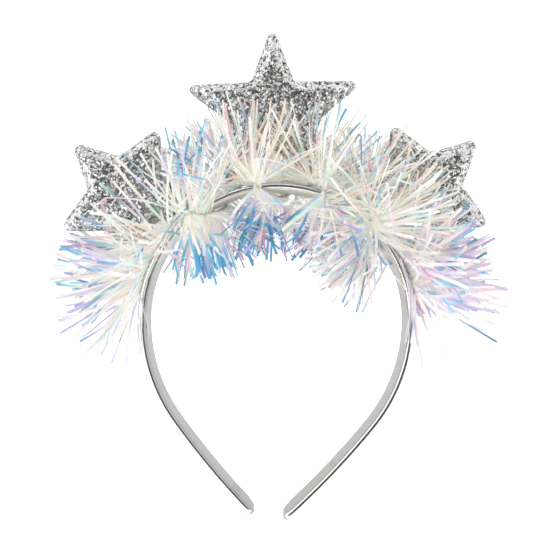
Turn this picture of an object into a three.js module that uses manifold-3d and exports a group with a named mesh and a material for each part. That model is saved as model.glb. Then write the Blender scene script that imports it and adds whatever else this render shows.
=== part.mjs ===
// Star headband, lying on its back: a silver covered head band, three padded glitter stars on short posts
// along its crown, and a tinsel garland wound round the band between them.
// Millimetres, +Z up. The loop of the band lies level, +Y points from its open end to the crown, and the
// front of the headband faces up. The origin is under the middle of the whole, on the surface it lies on.
import * as THREE from "three";
import { mergeVertices } from "three/addons/utils/BufferGeometryUtils.js";
import Module from "manifold-3d";

const wasm = await Module();
wasm.setup();

// Band: a strip bent into a loop. Each half is a chain of tangent arcs from the top of the crown to a tip.
const BAND_ARCS = [
  { name: "crown", radius: 60.2, sweep: 87.5, steps: 18 },
  { name: "temple", radius: 75.4, sweep: 40, steps: 8 },
  { name: "leg", radius: 362.5, sweep: 8.8, steps: 4 },
];
const BAND_WIDTH = 12; // front to back
const BAND_THICKNESS = 2.5;
const BAND_BULGE = 0.25; // how far the outer face swells in the middle
const BAND_EDGE = 0.9; // how far the edges are rounded
const BAND_FLARE = 3; // degrees that the strip opens towards the front
const LEG_EXTRA = { left: -1, right: 2 }; // how much longer each leg is than its arcs
const TIP_LENGTH = 8; // the rounded end of each leg
const TIP_STEPS = 5;

// Lining: a ribbon on the band's inner face.
const LINING_THICKNESS = 0.5;
const LINING_MARGIN = 0.8; // how far it stays inside each edge of the band
const LINING_END = 2.5; // how far it stops short of each tip
const LINING_GAP = 0.15;

// Stars: place of the middle, from the centre of the crown's arc, and size. turn is the way that the top
// point faces. The other radii are those of the sharp outline, before its corners are rounded: the top point,
// the other points, the notches beside the top point and at the foot, and the side notches under the arms.
// droop is how many degrees the left arm hangs lower.
const STARS = [
  { name: "center", at: 92.8, reach: 92.9, turn: 92.6, thickness: 13,
    top: 39.3, tip: 43.2, round: 2.2, notch: 16.4, side: 18.6, droop: 1.3 },
  { name: "left", at: 142.3, reach: 87.4, turn: 137.7, thickness: 12,
    top: 34.4, tip: 34.4, round: 2.7, notch: 17.5, side: 17.5, droop: 0 },
  { name: "right", at: 42.9, reach: 87.3, turn: 45.5, thickness: 12,
    top: 34.4, tip: 34.4, round: 2.7, notch: 17.5, side: 17.5, droop: 0 },
];
const STAR_POINTS = 5;
const STAR_RIM = 1.6; // thickness at the seam round the outline
const NOTCH_ROUND = 3; // radius of the rounded notches
const CORNER_STEPS = 4;
// Rings from the outline to the middle: scale of the outline, and share of the swelling over the seam.
const STAR_RINGS = [
  { scale: 1, rise: 0 },
  { scale: 0.92, rise: 0.42 },
  { scale: 0.79, rise: 0.8 },
  { scale: 0.6, rise: 1 },
];

// Posts: a flat tab under each star.
const POST_WIDTH = 6;
const POST_THICKNESS = 2.2;

// Tinsel: the core winds round the crown four times, with its ends along the outside of the band, and strips
// stand out of it all round. Distances along the band run from the top of the crown, to the right.
// The winding: distance along the band, and degrees that the core has turned round it, from its front.
const WINDING = [
  { at: -85, turn: 80 },
  { at: -50.5, turn: 76 },
  { at: -41, turn: 0 },
  { at: 20, turn: -720 },
  { at: 38, turn: -985 },
  { at: 44, turn: -1080 },
  { at: 51, turn: -1180 },
  { at: 58, turn: -1262 },
  { at: 65, turn: -1355 },
  { at: 82, turn: -1360 },
];
const WIND_POINTS = 140;
const CORE_RADIUS = 1.2;
const CORE_SIDES = 5;
const CORE_STEPS = 110;
const STRIP_COUNT = 160;
const STRIP_LENGTH = 38.5;
const STRIP_SPREAD = 115; // degrees to each side of straight away from the band
const END_LEAN = 0.9; // how far strips at the ends of the core lean along it
const END_LENGTH = 14; // length of core at each end whose strips lean
// Sections of a strip, from the core out: share of its length, width and thickness.
const STRIP_SECTIONS = [
  { along: 0, width: 1, thickness: 0.8 },
  { along: 0.5, width: 4.6, thickness: 0.9 },
  { along: 1, width: 1.6, thickness: 0.6 },
];
const STRIP_INSIDE = 0.85; // share of the length for a strip that points into the loop
const STRIP_BOW = 2.5; // how far the middle of a strip is off the straight line
const STRIP_LIFTS = [0, 0.3, 0.6, 1, 1.6]; // how far up a strip may bend to clear a star or the band

const GAP = 0.4; // between the pieces
const LINED_THICKNESS = BAND_THICKNESS + LINING_GAP + LINING_THICKNESS; // band and lining together
const WRAP_OUT = LINED_THICKNESS / 2 + BAND_BULGE + CORE_RADIUS + GAP;
const WRAP_DEPTH = BAND_WIDTH / 2 + CORE_RADIUS + GAP;
const MIDDLE_Z = WRAP_DEPTH + CORE_RADIUS; // of the band and the stars, over the surface
const FLOOR_Z = 0.05; // the lowest that a strip lies
const LEAST_EDGE = 0.003; // of the garland's faces
const GOLDEN = 0.618034;

const silver = new THREE.MeshStandardMaterial({ color: 0xc9c9c6, roughness: 0.3, metalness: 0.9 });
const satin = new THREE.MeshStandardMaterial({ color: 0xb9b9b5, roughness: 0.6, metalness: 0.1 });
const glitter = new THREE.MeshStandardMaterial({ color: 0xb4b4b2, roughness: 0.35, metalness: 0.8 });
const felt = new THREE.MeshStandardMaterial({ color: 0xd8d8d4, roughness: 0.9, metalness: 0 });
const film = new THREE.MeshStandardMaterial({ color: 0xe9e2e6, roughness: 0.25, metalness: 0.1 });

const degrees = THREE.MathUtils.degToRad;
const fraction = (x) => x - Math.floor(x);
const polar = (radius, angle) => new THREE.Vector2(radius * Math.cos(angle), radius * Math.sin(angle));

// A closed body through rings of the same number of points, with its ends closed round their middles.
function loft(rings) {
  const count = rings[0].length;
  const middles = [rings[0], rings.at(-1)].map((ring) =>
    ring.reduce((sum, p) => sum.add(p), new THREE.Vector3()).divideScalar(count),
  );
  const points = [...rings.flat(), ...middles];
  const lastRing = (rings.length - 1) * count;
  const firstMiddle = rings.length * count;
  const index = [];
  for (let j = 0; j < count; j++) {
    const next = (j + 1) % count;
    for (let start = 0; start < lastRing; start += count) {
      index.push(start + j, start + next, start + count + next);
      index.push(start + j, start + count + next, start + count + j);
    }
    index.push(firstMiddle, next, j);
    index.push(firstMiddle + 1, lastRing + j, lastRing + next);
  }
  const geometry = new THREE.BufferGeometry().setFromPoints(points);
  return geometry.setIndex(index);
}

// A geometry as a solid that can be joined and cut, and back.
function solidOf(geometry) {
  const bare = geometry.clone();
  bare.deleteAttribute("normal");
  bare.deleteAttribute("uv");
  const merged = mergeVertices(bare, 1e-4);
  const triVerts = new Uint32Array(merged.index.array);
  const vertProperties = merged.attributes.position.array;
  return new wasm.Manifold(new wasm.Mesh({ numProp: 3, vertProperties, triVerts }));
}

function geometryOf(solid) {
  const mesh = solid.getMesh();
  const geometry = new THREE.BufferGeometry();
  geometry.setAttribute("position", new THREE.BufferAttribute(new Float32Array(mesh.vertProperties), 3));
  return geometry.setIndex(new THREE.BufferAttribute(mesh.triVerts, 1));
}

const largestBody = (solid) =>
  solid.decompose().reduce((most, body) => (body.volume() > most.volume() ? body : most));

// Place and outward direction on the band's outer face at a distance along it from the top of the crown.
const HALF_LENGTH = BAND_ARCS.reduce((sum, arc) => sum + arc.radius * degrees(arc.sweep), 0);
const legLength = (side) => HALF_LENGTH + (side < 0 ? LEG_EXTRA.left : LEG_EXTRA.right);

function bandFrame(distance) {
  const side = Math.sign(distance) || 1;
  let left = Math.abs(distance);
  let outward = Math.PI / 2;
  const centre = new THREE.Vector2();
  let radius = BAND_ARCS[0].radius;
  BAND_ARCS.forEach((arc, i) => {
    centre.add(polar(radius - arc.radius, outward));
    radius = arc.radius;
    const length = i + 1 < BAND_ARCS.length ? arc.radius * degrees(arc.sweep) : Infinity;
    const used = Math.min(left, length);
    outward -= used / arc.radius;
    left -= used;
    if (left <= 0) left = 0;
  });
  const place = centre.clone().add(polar(radius, outward));
  const normal = polar(1, outward);
  return {
    place: new THREE.Vector3(side * place.x, place.y, 0),
    normal: new THREE.Vector3(side * normal.x, normal.y, 0),
  };
}

// A point beside the band: out from its outer face, and up from its middle.
function besideBand(distance, out, up) {
  const { place, normal } = bandFrame(distance);
  const flared = out + up * Math.tan(degrees(BAND_FLARE));
  const point = place.clone().addScaledVector(normal, flared);
  point.z = MIDDLE_Z + up;
  return point;
}

// Distances of the band's sections from the top of the crown to one tip, and from one tip to the other.
function halfStations(end, side) {
  const half = [];
  const straightEnd = legLength(side) - TIP_LENGTH;
  let start = 0;
  for (const arc of BAND_ARCS) {
    const length = arc.radius * degrees(arc.sweep);
    for (let i = 0; i < arc.steps; i++) half.push(start + (length * i) / arc.steps);
    start += length;
  }
  const stations = half.filter((s) => s < straightEnd - 1);
  for (let i = 0; i <= TIP_STEPS; i++) {
    const angle = (Math.PI / 2) * (i / TIP_STEPS);
    stations.push(straightEnd + (TIP_LENGTH - end) * Math.sin(angle));
  }
  return stations.map((s) => side * s);
}

const bandStations = (end) => [...halfStations(end, -1).slice(1).reverse(), ...halfStations(end, 1)];

// Half the band's width at a distance along it: constant, and rounded off at the tips.
function bandHalfWidth(distance) {
  const straightEnd = legLength(Math.sign(distance)) - TIP_LENGTH;
  const intoTip = Math.max(0, Math.abs(distance) - straightEnd) / TIP_LENGTH;
  const least = 0.3;
  return (BAND_WIDTH / 2) * (least + (1 - least) * Math.sqrt(Math.max(0, 1 - intoTip * intoTip)));
}

function bandGeometry(clearance) {
  const inner = -BAND_THICKNESS - clearance;
  const outer = clearance;
  const rings = bandStations(0).map((s) => {
    const half = bandHalfWidth(s) + clearance;
    const section = [
      [inner, half - BAND_EDGE],
      [inner, -half + BAND_EDGE],
      [inner + BAND_EDGE, -half],
      [outer - BAND_EDGE, -half],
      [outer, -half + BAND_EDGE],
      [outer + BAND_BULGE, -half / 3],
      [outer + BAND_BULGE, half / 3],
      [outer, half - BAND_EDGE],
      [outer - BAND_EDGE, half],
      [inner + BAND_EDGE, half],
    ];
    return section.map(([out, up]) => besideBand(s, out, up));
  });
  return loft(rings);
}

function liningGeometry(clearance) {
  const outer = -BAND_THICKNESS - LINING_GAP;
  const inner = outer - LINING_THICKNESS - clearance;
  const rings = bandStations(LINING_END).map((s) => {
    const half = bandHalfWidth(s) - LINING_MARGIN + clearance;
    const section = [
      [inner, half],
      [inner, -half],
      [outer, -half],
      [outer, half],
    ];
    return section.map(([out, up]) => besideBand(s, out, up));
  });
  return loft(rings);
}

// Outline of a star round its own middle, with its points and notches rounded.
function starOutline(star) {
  const corners = [];
  for (let i = 0; i < 2 * STAR_POINTS; i++) {
    const lower = i === 2 ? degrees(star.droop) : 0;
    const angle = degrees(star.turn) + (Math.PI * i) / STAR_POINTS + lower;
    const point = i === 0 ? star.top : star.tip;
    const notch = i === 3 || i === 7 ? star.side : star.notch;
    corners.push(polar(i % 2 ? notch : point, angle));
  }
  const outline = [];
  corners.forEach((corner, i) => {
    const radius = i % 2 ? NOTCH_ROUND : star.round;
    const before = corners.at(i - 1).clone().sub(corner).normalize();
    const after = corners[(i + 1) % corners.length].clone().sub(corner).normalize();
    const half = Math.acos(before.dot(after)) / 2;
    const tangent = radius / Math.tan(half);
    const centre = before.clone().add(after).setLength(radius / Math.sin(half)).add(corner);
    const first = before.clone().multiplyScalar(tangent).add(corner).sub(centre);
    const last = after.clone().multiplyScalar(tangent).add(corner).sub(centre);
    for (let step = 0; step <= CORNER_STEPS; step++) {
      outline.push(first.clone().lerp(last, step / CORNER_STEPS).setLength(radius).add(centre));
    }
  });
  return outline;
}

const starMiddle = (star) => polar(star.reach, degrees(star.at));

function starGeometry(star, clearance) {
  const middle = starMiddle(star);
  const outline = starOutline(star);
  const seam = STAR_RIM / 2;
  const swell = star.thickness / 2 - seam;
  const ring = ({ scale, rise }, side) =>
    outline.map((p) => {
      const flat = p.clone().setLength(p.length() * scale + clearance).add(middle);
      return new THREE.Vector3(flat.x, flat.y, MIDDLE_Z + side * (seam + rise * swell + clearance));
    });
  const back = STAR_RINGS.map((row) => ring(row, -1)).reverse();
  const front = STAR_RINGS.map((row) => ring(row, 1));
  return loft([...back, ...front]);
}

// The tab between the band and the notch at a star's foot, cut to fit both.
function postSolid(star) {
  const notch = starMiddle(star).sub(polar(star.notch, degrees(star.turn)));
  const angle = notch.angle();
  const foot = BAND_ARCS[0].radius - BAND_THICKNESS;
  const length = notch.length() - foot;
  const box = new THREE.BoxGeometry(length, POST_WIDTH, POST_THICKNESS);
  const middle = polar(foot + length / 2, angle);
  const place = new THREE.Matrix4().makeRotationZ(angle).setPosition(middle.x, middle.y, MIDDLE_Z);
  const whole = solidOf(box.applyMatrix4(place));
  return largestBody(whole.subtract(solidOf(bandGeometry(GAP))).subtract(solidOf(starGeometry(star, GAP))));
}

// The garland's core: 90 degrees is outside the band, 180 behind it and 270 inside it.
function corePoint(distance) {
  const i = Math.max(1, WINDING.findIndex((row) => row.at >= distance));
  const [from, to] = [WINDING[i - 1], WINDING[i]];
  const turn = degrees(THREE.MathUtils.mapLinear(distance, from.at, to.at, from.turn, to.turn));
  const squared = (x) => Math.sign(x) * Math.sqrt(Math.abs(x));
  const out = -LINED_THICKNESS / 2 + WRAP_OUT * squared(Math.sin(turn));
  return besideBand(distance, out, WRAP_DEPTH * squared(Math.cos(turn)));
}

const coreAt = (u) => THREE.MathUtils.lerp(WINDING[0].at, WINDING.at(-1).at, u);
const corePath = new THREE.CatmullRomCurve3(
  Array.from({ length: WIND_POINTS + 1 }, (_, i) => corePoint(coreAt(i / WIND_POINTS))),
);

function coreGeometry() {
  const section = new THREE.Shape(
    Array.from({ length: CORE_SIDES }, (_, i) => polar(CORE_RADIUS, (2 * Math.PI * i) / CORE_SIDES)),
  );
  return new THREE.ExtrudeGeometry(section, { steps: CORE_STEPS, extrudePath: corePath });
}

// One strip of tinsel: it leaves the core away from the band, turned by a share of the spread, and lies
// along the surface where it would go below it.
function stripGeometry(i, lift) {
  const u = (i + 0.5) / STRIP_COUNT;
  const root = corePath.getPoint(u);
  const along = corePath.getTangent(u);
  const distance = coreAt(u);
  const away = root.clone().sub(besideBand(distance, -BAND_THICKNESS / 2, 0));
  away.addScaledVector(along, -away.dot(along)).normalize();
  const spread = degrees(STRIP_SPREAD) * (2 * fraction(i * GOLDEN) - 1);
  const nearEnd = (end) => Math.max(0, 1 - Math.abs(end.at - distance) / END_LENGTH);
  const lean = 0.35 * Math.sin(i) + END_LEAN * (nearEnd(WINDING.at(-1)) - nearEnd(WINDING[0]));
  const way = away.applyAxisAngle(along, spread).addScaledVector(along, lean).normalize();
  way.z += lift;
  way.normalize();
  const inward = Math.max(0, -way.dot(bandFrame(distance).normal));
  const share = 0.88 + 0.2 * fraction(i * GOLDEN * GOLDEN);
  const length = STRIP_LENGTH * share * (1 - (1 - STRIP_INSIDE) * inward);
  const tip = root.clone().addScaledVector(way, length);
  const lowest = FLOOR_Z + STRIP_SECTIONS.at(-1).width / 2;
  if (tip.z < lowest) {
    const level = new THREE.Vector3(way.x, way.y, 0).normalize();
    const drop = root.z - lowest;
    tip.copy(root).addScaledVector(level, Math.sqrt(length * length - drop * drop));
    tip.z = lowest;
  }
  const straight = tip.clone().sub(root).normalize();
  const across = new THREE.Vector3(0.05, 0.05, 1).cross(straight).normalize();
  const flat = straight.clone().cross(across);
  const rings = STRIP_SECTIONS.map((section) => {
    const bow = STRIP_BOW * 4 * section.along * (1 - section.along);
    const middle = root.clone().lerp(tip, section.along).addScaledVector(flat, bow);
    const corner = (a, f) => {
      const point = middle.clone().addScaledVector(across, (a * section.width) / 2);
      point.addScaledVector(flat, (f * section.thickness) / 2);
      point.z = Math.max(point.z, FLOOR_Z);
      return point;
    };
    return [corner(1, -0.5), corner(0, 0.5), corner(-1, -0.5)];
  });
  return loft(rings);
}

// Length of the shortest edge of a solid's faces.
function shortestEdge(solid) {
  const { vertProperties, triVerts } = solid.getMesh();
  const a = new THREE.Vector3();
  const b = new THREE.Vector3();
  let shortest = Infinity;
  triVerts.forEach((from, i) => {
    const to = triVerts[i % 3 === 2 ? i - 2 : i + 1];
    a.fromArray(vertProperties, 3 * from);
    b.fromArray(vertProperties, 3 * to);
    shortest = Math.min(shortest, a.distanceTo(b));
  });
  return shortest;
}

// The garland: every strip that stays clear of the band, the stars and the posts, joined to the core. A strip
// bends further up where it would touch them, or where the join would leave a sliver.
function garlandSolid(keepClear) {
  const isClear = (strip) => keepClear.every((solid) => solid.intersect(strip).isEmpty());
  let garland = solidOf(coreGeometry());
  for (let i = 0; i < STRIP_COUNT; i++) {
    const joined = STRIP_LIFTS.map((lift) => solidOf(stripGeometry(i, lift)))
      .filter(isClear)
      .map((strip) => garland.add(strip))
      .find((solid) => shortestEdge(solid) > LEAST_EDGE);
    if (joined) garland = joined;
  }
  return largestBody(garland);
}

const headband = new THREE.Group();

function addPiece(name, geometry, material) {
  const mesh = new THREE.Mesh(geometry, material);
  mesh.name = name;
  headband.add(mesh);
}

addPiece("band", bandGeometry(0), silver);
addPiece("band_lining", liningGeometry(0), satin);
const keepClear = [solidOf(bandGeometry(GAP)), solidOf(liningGeometry(GAP))];
for (const star of STARS) {
  const post = postSolid(star);
  addPiece(`star_${star.name}`, starGeometry(star, 0), glitter);
  addPiece(`star_post_${star.name}`, geometryOf(post), felt);
  keepClear.push(solidOf(starGeometry(star, GAP)), post);
}
addPiece("tinsel_garland", geometryOf(garlandSolid(keepClear)), film);

const box = new THREE.Box3().setFromObject(headband);
const middle = box.getCenter(new THREE.Vector3());
headband.position.set(-middle.x, -middle.y, -box.min.z);

const part = new THREE.Group();
part.add(headband);

export default part;
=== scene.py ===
"""Star headband lying on its back on a pale floor, seen straight from above as in the photograph."""
import math

import bmesh
import bpy
import numpy as np
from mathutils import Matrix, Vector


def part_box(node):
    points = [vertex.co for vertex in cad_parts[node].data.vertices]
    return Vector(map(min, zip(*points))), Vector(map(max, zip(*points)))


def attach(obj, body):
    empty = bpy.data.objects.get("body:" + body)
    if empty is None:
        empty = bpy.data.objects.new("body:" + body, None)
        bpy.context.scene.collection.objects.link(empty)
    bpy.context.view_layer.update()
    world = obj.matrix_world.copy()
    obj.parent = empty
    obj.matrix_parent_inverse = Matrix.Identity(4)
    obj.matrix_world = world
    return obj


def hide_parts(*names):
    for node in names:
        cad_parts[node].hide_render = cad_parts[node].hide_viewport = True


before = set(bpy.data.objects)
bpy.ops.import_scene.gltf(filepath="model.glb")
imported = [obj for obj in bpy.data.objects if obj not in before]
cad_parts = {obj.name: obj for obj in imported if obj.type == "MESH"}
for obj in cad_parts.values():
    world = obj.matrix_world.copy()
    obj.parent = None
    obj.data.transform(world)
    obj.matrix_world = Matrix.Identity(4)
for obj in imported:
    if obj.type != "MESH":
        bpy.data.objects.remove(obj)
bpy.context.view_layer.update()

# Lengths are in millimetres and angles in degrees, measured from the centre of the crown's arc on the floor.
MM = 0.001

# Band: a chain of tangent arcs from the top of the crown to each tip, as (radius, sweep).
BAND_ARCS = [(60.2, 87.5), (75.4, 40.0), (362.5, 8.8)]
BAND_WIDTH = 12.0
BAND_THICKNESS = 2.5
BAND_BULGE = 0.25
BAND_EDGE = 0.9  # depth of the rounded edges
BAND_FLARE = math.tan(math.radians(3.0))
LEG_EXTRA = {-1: -1.8, 1: 1.2}  # how much longer the left and the right leg are than their arcs
TIP_LENGTH = 8.0
TIP_LEAST = 0.3  # share of the width that is left at a tip
TIP_LIFT = 1.6  # how far the tips are rounded off more at the back than at the front
TIP_ROUND = 1.3  # distance from a tip over which the band gets thinner
TIP_THINNEST = 0.35  # share of the thickness that is left at a tip
TIP_FOLD = (2.0, 1.5, 0.22)  # thicker round a fold in the cover: its distance from the tip, reach and amount
# Painted shade: how much darker the cover is along the edge of its outer face, on that face, and at the tips.
EDGE_SHADE = 0.6
EDGE_SHADE_OUT = -0.35  # how far out from the outer face the edge begins
FACE_SHADE = 0.42
FACE_SHADE_OUT = -0.05  # how far out the face begins
# At the very ends of the tips the painted shade stands for a dark reflection.
END_SHADE = 0.75
END_SHADE_REACH = 1.5
# Painted shade along the back edge near the tips.
TIP_BACK_SHADE = 0.6
TIP_BACK_SHADE_REACH = 4.0
TIP_BACK_SHADE_UP = 0.6  # up from the back edge

LINING_THICKNESS = 0.5
LINING_END = 1.5  # distance from the band's tips
LINING_GAP = 0.15
LINING_LIE = 0.03  # how close the ribbon lies to the band
LINING_WRAP = (112.0, 170.0)  # how near the ribbon comes to the front of the left and the right leg's edge
LINING_CREASES = {-1: (8.6, 10.0, 11.2, 13.0), 1: (30.0, 31.5)}  # distances from its ends
LINING_LEAST = 0.08  # thickness
LINING_THINNING = 0.8  # towards its front edge
CREASE_REACH = 0.45
CREASE_DEPTH = 0.16
# Painted shade in the creases; PLEAT_SHADE and BACK_EDGE_SHADE paint shade in the pleats' hollows and along
# the back edge.
CREASE_SHADE = 0.25
PLEAT_HEIGHT = 0.1  # of the pleats where the ribbon is gathered at its ends
PLEAT_REACH = 9.0
PLEAT_TURNS = 28.0  # radians across the ribbon
PLEAT_SHADE = 1.2
BACK_EDGE_SHADE = 0.3
FRONT_LIGHT = (0.5, 0.6, 0.2)  # painted light: how much lighter in front, from which share of the width on, and over what
RIGHT_LEG_SHADE = (80.0, 0.93)  # painted shade: from this distance on the ribbon is this much of its lightness
END_DIM = (0.08, 15.0)  # how much darker towards the ends, and the reach of that
# Painted light, lighter and warmer towards the crown: how much, from which distance on, and over what
# distance.
LINING_LIGHTS = [(0.7, 80.0, 20.0), (0.35, 45.0, 15.0)]
LINING_LIGHT_WARMTH = (0.0, 0.05, 0.14)  # how much less red, green and blue there is in that light

# Stars, with the same names and sizes as their solids. Bare is the share of the strips in front of a star
# that are left out.
STARS = [
    dict(name="center", at=92.8, reach=92.9, turn=92.6, thickness=13.0,
         top=39.3, tip=43.2, round=2.2, notch=16.4, side=18.6, droop=1.3, bare=0.0),
    dict(name="left", at=142.3, reach=87.4, turn=137.7, thickness=12.0,
         top=34.4, tip=34.4, round=2.7, notch=17.5, side=17.5, droop=0.0, bare=0.85),
    dict(name="right", at=42.9, reach=87.3, turn=45.5, thickness=12.0,
         top=34.4, tip=34.4, round=2.7, notch=17.5, side=17.5, droop=0.0, bare=0.0),
]
STAR_RIM = 1.6  # thickness of the seam
NOTCH_ROUND = 3.0
STAR_BEVEL = 4.7  # distance from the outline over which the pad rises
STAR_ROUNDNESS = 1.4
STAR_DOME = 0.04  # how much lower the points are than the middle
STAR_SMOOTHING = 4  # passes
# Sizes of the rings of a pad, from its outline in.
PAD_RINGS = [1.0, 0.985, 0.96, 0.92, 0.88, 0.84, 0.80, 0.76, 0.72, 0.68, 0.64, 0.60, 0.5, 0.4, 0.28, 0.14]

FLAKE_SPACING = 0.85
FLAKE_RADIUS = (0.5, 0.8)
FLAKE_TILT = 11.5  # standard deviation
FLAKE_JITTER = 0.3
FLAKE_MARGIN = 0.98  # share of the outline that they keep within
FLAKE_LIFT = (0.08, 0.3)  # over the cloth
FLAKE_FOOT = 0.25  # how deep its point is sunk in the cloth
FLAKE_TRIM = (0.85, 1.0)  # share of its radius that a corner has
SEAM_LEVELS = (-0.5, 0.5)
SEAM_INSET = 0.12
SEAM_FLAKE_RADIUS = 0.4
SEAM_REACH = 1.5  # how far from the middle plane the flakes are as small as on the seam
FLAKE_SEED = 5
SPARKLE_SHARE = 0.09  # of the flakes, larger and further out of line
SPARKLE_RADIUS = (0.85, 1.2)
SPARKLE_TILT = 18.0

# Tinsel garland: how far round the band its core has turned, from the front, at distances along the band
# from the top of the crown.
WINDING = [(-85.0, 80.0), (-50.5, 76.0), (-41.0, 0.0), (20.0, -720.0), (38.0, -985.0), (44.0, -1080.0),
           (51.0, -1180.0), (58.0, -1262.0), (65.0, -1355.0), (82.0, -1360.0)]
# Share of the strips that may pass in front of the band, from these distances on.
FRONT_SHARES = [(-math.inf, 0.0), (-100.0, 0.8), (-47.0, 0.9), (-30.0, 0.04), (-13.6, 0.9), (-8.6, 0.04),
                (17.5, 0.9), (60.0, 0.6)]
LOOSE_ENDS = (-66.0, 57.0)  # beyond these few strips turn inwards
LOOSE_ENDS_CUT = 0.85  # share of those that are left out
THIN_ZONE = (15.0, 33.0)  # fewer strips outside
INNER_THIN_ZONE = (-30.0, 16.0)  # fewer strips inside
THIN_CUT = 0.5
RICH_ZONE = (35.0, 49.0)  # twice as many strips
SLANT_LIMIT = 0.6  # the strips inside that run less straight inwards than this are mostly left out
SLANT_CUT = 0.8
CORE_RADIUS = 1.2
CORE_FINENESS = 4000
CORE_SAMPLES = 900
CORE_SMOOTHING = 8  # passes
THREAD_RADIUS = 0.5  # of each of the core's two threads
THREAD_ASIDE = 0.45  # how far they lie from its middle
THREAD_TWIST = 0.35  # radians from sample to sample of the core
GAP = 0.4  # between the core and the band
STRIP_LENGTH = (37.0, 3.0)  # mean and standard deviation
STRIP_LENGTH_LIMITS = (22.0, 41.0)
# Share of its length that a strip has where it points inwards, at distances.
STRIP_INSIDE = [(-60.0, 0.78), (-22.0, 0.7), (8.0, 0.7), (35.0, 0.76)]
STRIP_SPREAD = 122.0  # round the core, to either side of the way out from the band
STRIP_LEAN = 0.35  # standard deviation of how far a strip leans along the core from the rest of its tuft
STRIP_START = 0.5  # from the core's middle
STRIP_FLATNESS = 0.8  # how much of its slope a strip keeps
STEEPEST_DOWN = -0.3
STRIP_BEND = 0.05  # standard deviation of how far a strip turns at each of its steps
STRIP_SAG = 0.02  # at each step
CURL_SHARE = 0.015  # of the strips, bent more
CURL_BEND = 0.35
KINK_SHARE = 0.12  # of the strips, with one sharp bend
KINK_BEND = 0.4
RIBBON_TILT = 0.35  # standard deviation
RIBBON_TWIST = 0.35  # standard deviation, in radians
STRIP_WIDTH = (0.6, 1.2)
WIDE_STRIP_WIDTH = (0.85, 1.6)  # inside the band and at the garland's ends
WIDE_ENDS = 55.0
STRIP_THICKNESS = 0.07
STRIP_STEPS = 7
TUFT_COUNT = 400
EVEN_STEPS = (0.7548776662, 0.5698402910)  # spread the tufts evenly along the core and round it
END_DENSITY = 0.03  # how much closer together they are towards the garland's ends
TUFT_SIZE = (5, 11)  # strips in a tuft: at least the one, and fewer than the other
TUFT_LENGTH = 0.01  # standard deviation of the places of a tuft's strips, as a share of the core
TUFT_SPREAD = 16.0  # standard deviation of the strips' angles round the core
TUFT_LEAN = 0.22  # standard deviation
INNER_TUFT = -0.3  # a tuft whose direction out of the band is below this points inwards
INNER_LOOSENESS = 0.5  # of the strips in such a tuft, against the others
END_LEANS = (-0.8, 0.4)  # along the core, at its left and right end
END_LEAN_REACH = 14.0
# How far strips keep from the band's inner and outer face, its edges, the stars and the floor.
INNER_CLEAR = 0.4
OUTER_CLEAR = 0.5
EDGE_CLEAR = 0.3
STAR_CLEAR = 0.45
FLOOR_CLEAR = (0.3, 0.5)  # least, and how much more at most
FLOOR_LEAST = 0.05  # for any point of a ribbon
STRIP_SEED = 22
# Strips that lie along the legs: where they start, their length, and the first and last angle round the
# band's front edge.
LEG_STRIPS = [(-83.0, 18.0, 50.0, 200.0), (-85.0, 20.0, 60.0, 215.0), (-88.0, 15.0, 70.0, 205.0),
              (-72.0, 36.0, 10.0, 30.0), (-76.0, 36.0, 25.0, 10.0), (-80.0, 31.0, 5.0, 20.0),
              (-84.0, 28.0, 30.0, 20.0), (62.0, 36.0, 60.0, 115.0), (66.0, 37.0, 75.0, 150.0),
              (73.0, 30.0, 50.0, 90.0), (78.0, 26.0, 65.0, 200.0), (81.0, 24.0, 60.0, 170.0)]
LEG_STRIP_FREE = 0.08  # share of the length before it meets the leg
LEG_CLEAR = (0.75, 0.3)  # least, and how much more at most

band_low, band_high = (np.array(corner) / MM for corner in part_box("band"))
BAND_TOP = BAND_ARCS[0][0] + BAND_BULGE + BAND_WIDTH / 6 * BAND_FLARE
ARC_CENTRE = np.array([(band_low[0] + band_high[0]) / 2, band_high[1] - BAND_TOP, 0.0])
MIDDLE_Z = (band_low[2] + band_high[2]) / 2
HALF_LENGTH = sum(radius * math.radians(sweep) for radius, sweep in BAND_ARCS)
LEG_LENGTH = {side: HALF_LENGTH + extra for side, extra in LEG_EXTRA.items()}
LINED = BAND_THICKNESS + LINING_GAP + LINING_THICKNESS
WRAP_OUT = LINED / 2 + BAND_BULGE + CORE_RADIUS + GAP
WRAP_DEPTH = BAND_WIDTH / 2 + CORE_RADIUS + GAP


def polar(radius, degrees):
    angle = math.radians(degrees)
    return np.array([radius * math.cos(angle), radius * math.sin(angle)])


def unit(vector):
    return vector / np.linalg.norm(vector)


# Materials

def principled(name):
    """A new node material, with its Principled node and its links."""
    material = bpy.data.materials.new(name)
    material.use_nodes = True
    tree = material.node_tree
    return material, tree, tree.nodes["Principled BSDF"]


def ramp(tree, source, stops):
    """A colour ramp on a value, through (position, colour) stops."""
    node = tree.nodes.new("ShaderNodeValToRGB")
    while len(node.color_ramp.elements) < len(stops):
        node.color_ramp.elements.new(0.5)
    for element, (position, colour) in zip(node.color_ramp.elements, stops):
        element.position = position
        element.color = (*colour, 1.0)
    tree.links.new(source, node.inputs["Fac"])
    return node.outputs["Color"]


def noise(tree, scale, detail=3.0, stretch=(1.0, 1.0, 1.0)):
    """Noise over the object's own space, with a scale per metre and a stretch along each axis."""
    coordinates = tree.nodes.new("ShaderNodeTexCoord")
    mapping = tree.nodes.new("ShaderNodeMapping")
    mapping.inputs["Scale"].default_value = stretch
    texture = tree.nodes.new("ShaderNodeTexNoise")
    texture.inputs["Scale"].default_value = scale
    texture.inputs["Detail"].default_value = detail
    tree.links.new(coordinates.outputs["Object"], mapping.inputs["Vector"])
    tree.links.new(mapping.outputs["Vector"], texture.inputs["Vector"])
    return texture.outputs["Fac"]


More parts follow.
